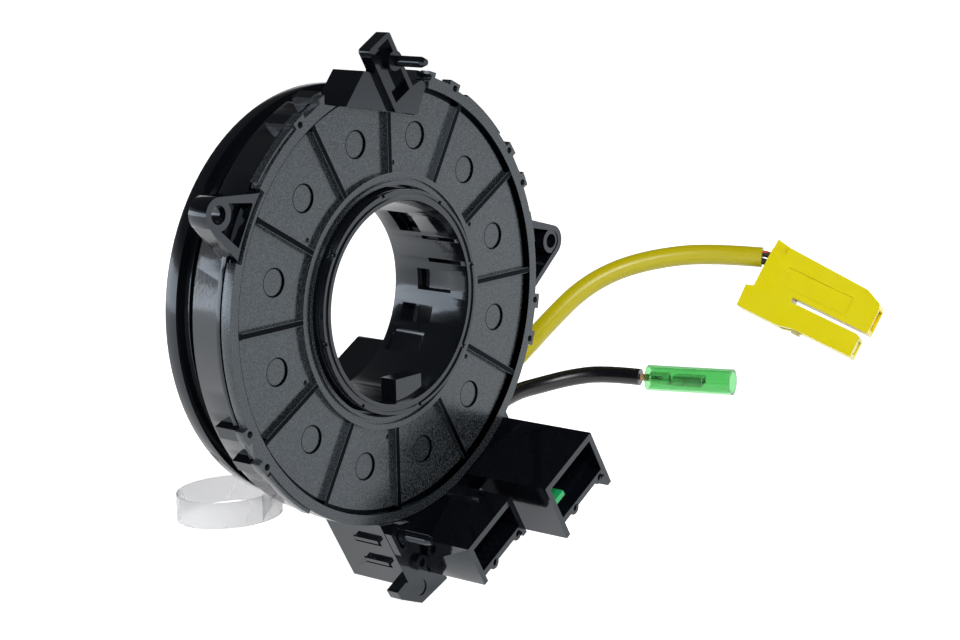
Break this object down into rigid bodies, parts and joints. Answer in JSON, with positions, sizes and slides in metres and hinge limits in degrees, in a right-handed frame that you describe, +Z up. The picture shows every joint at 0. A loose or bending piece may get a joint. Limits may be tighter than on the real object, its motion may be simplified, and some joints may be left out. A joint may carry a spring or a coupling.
{
  "type": "steering clock spring",
  "caption": "Rotary flat-cable connector for a steering wheel: ribbed ring shell with ears, pins and sockets, turning sleeve, airbag and horn leads.",
  "frame": {"origin": "on the turning axis, in the front plane of the ribbed cover", "axes": "+Y along the turning axis towards the steering wheel, +Z up through the two locating pins, +X to the right seen from the ribbed cover"},
  "size_m": [0.1978, 0.09, 0.1309],
  "materials": {
    "cover_plastic": "fine grained satin",
    "shell_plastic": "moulded gloss",
    "rotor_plastic": "moulded gloss",
    "carrier_plastic": "natural moulded",
    "contact_metal": "tin plated",
    "strip_metal": "stamped strip",
    "film": "translucent film",
    "ribbon": "laminated ribbon",
    "yellow_tubing": "soft glossy tubing",
    "core_insulation": "thin core insulation",
    "yellow_plastic": "moulded gloss",
    "orange_plastic": "moulded",
    "lock_plastic": "moulded gloss",
    "black_insulation": "satin insulation",
    "copper_strand": "stranded",
    "green_plastic": "moulded",
    "green_clear": "clear tinted"
  },
  "bodies": {
    "stator": {"rear_cover": "cover_plastic", "stator_housing": "shell_plastic", "block_cover": "shell_plastic", "socket_a_contacts": "contact_metal", "socket_b_contacts": "contact_metal", "socket_b_insert": "shell_plastic", "green_retainer": "green_plastic", "terminal_block": "carrier_plastic", "outer_busbars": "strip_metal", "slide_sheet_rear": "film", "slide_sheet_front": "film", "flat_cable": "ribbon", "carrier_a": "carrier_plastic", "carrier_b": "carrier_plastic"},
    "rotor": {"hub_sleeve": "rotor_plastic", "rotor_disc": "rotor_plastic", "inner_terminal": "carrier_plastic", "inner_busbars": "strip_metal", "wheel_socket": "shell_plastic", "wheel_contacts": "contact_metal", "lead_cover": "shell_plastic", "transport_tape": "film", "yellow_tube": "yellow_tubing", "yellow_cores": "core_insulation", "plug_body": "yellow_plastic", "plug_insert": "orange_plastic", "plug_contacts": "contact_metal", "black_lead": "black_insulation", "black_cores": "copper_strand", "horn_terminal": "contact_metal", "green_sleeve": "green_clear"},
    "squib_lock": {"plug_lock": "lock_plastic"}
  },
  "joints": [
    {"name": "rotor_turn", "type": "hinge", "parent": "stator", "child": "rotor", "pos_m": [0, 0, 0], "axis": [0, 1, 0], "range_deg": [-900, 900]},
    {"name": "lock_slide", "type": "slide", "parent": "rotor", "child": "squib_lock", "axis": [-0.2516, 0.8893, 0.3818], "range_m": [0, 0.003]}
  ]
}
